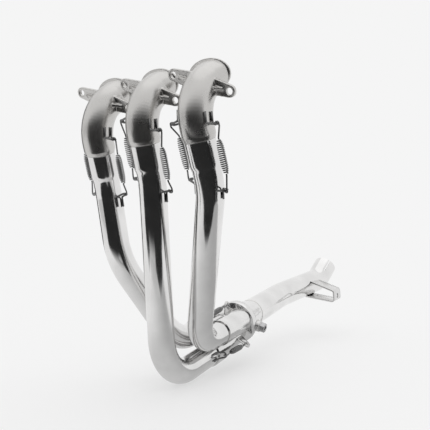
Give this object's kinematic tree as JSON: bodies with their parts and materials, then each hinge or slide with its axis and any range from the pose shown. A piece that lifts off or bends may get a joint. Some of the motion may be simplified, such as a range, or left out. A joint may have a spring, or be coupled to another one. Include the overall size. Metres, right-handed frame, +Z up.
{
  "type": "exhaust header",
  "caption": "Motorcycle exhaust header: cast port stubs, polished tubes held by springs, a merge collector with a plugged sensor bung, and a link pipe with a strap bracket.",
  "frame": {"origin": "centre of the middle port's two stud holes, on the nut face of its lugs", "axes": "+X along the row of ports, square to the bracket's end face; +Y rearward, the longest extent; +Z up as fitted to an engine"},
  "size_m": [0.2695, 0.7558, 0.454],
  "materials": {
    "stub_casting": "satin, blasted casting",
    "tube_polished": "mirror polished",
    "collector_polished": "polished",
    "link_polished": "polished",
    "bracket_plate": "polished plate",
    "bung_steel": "turned",
    "plug_steel": "turned",
    "washer_metal": "flat",
    "hook_wire": "drawn wire",
    "swivel_wire": "drawn wire",
    "spring_coil": "drawn wire",
    "tab_plate": "polished plate"
  },
  "bodies": {
    "root": {"bung_plug": "plug_steel", "collector": "collector_polished", "collector_hook_lower": "hook_wire", "collector_hook_upper": "hook_wire", "collector_spring_lower": "spring_coil", "collector_spring_upper": "spring_coil", "collector_swivel_far_lower": "swivel_wire", "collector_swivel_far_upper": "swivel_wire", "collector_swivel_near_lower": "swivel_wire", "collector_swivel_near_upper": "swivel_wire", "collector_tab_lower": "tab_plate", "collector_tab_upper": "tab_plate", "link_bracket": "bracket_plate", "link_pipe": "link_polished", "plug_washer": "washer_metal", "sensor_bung": "bung_steel", "spring_centre_inner": "spring_coil", "spring_centre_outer": "spring_coil", "spring_left_inner": "spring_coil", "spring_left_outer": "spring_coil", "spring_right_inner": "spring_coil", "spring_right_outer": "spring_coil", "stub_centre": "stub_casting", "stub_hook_centre_inner": "hook_wire", "stub_hook_centre_outer": "hook_wire", "stub_hook_left_inner": "hook_wire", "stub_hook_left_outer": "hook_wire", "stub_hook_right_inner": "hook_wire", "stub_hook_right_outer": "hook_wire", "stub_left": "stub_casting", "stub_right": "stub_casting", "swivel_lower_centre_inner": "swivel_wire", "swivel_lower_centre_outer": "swivel_wire", "swivel_lower_left_inner": "swivel_wire", "swivel_lower_left_outer": "swivel_wire", "swivel_lower_right_inner": "swivel_wire", "swivel_lower_right_outer": "swivel_wire", "swivel_upper_centre_inner": "swivel_wire", "swivel_upper_centre_outer": "swivel_wire", "swivel_upper_left_inner": "swivel_wire", "swivel_upper_left_outer": "swivel_wire", "swivel_upper_right_inner": "swivel_wire", "swivel_upper_right_outer": "swivel_wire", "tube_centre": "tube_polished", "tube_hook_centre_inner": "hook_wire", "tube_hook_centre_outer": "hook_wire", "tube_hook_left_inner": "hook_wire", "tube_hook_left_outer": "hook_wire", "tube_hook_right_inner": "hook_wire", "tube_hook_right_outer": "hook_wire", "tube_left": "tube_polished", "tube_right": "tube_polished"}
  },
  "joints": []
}
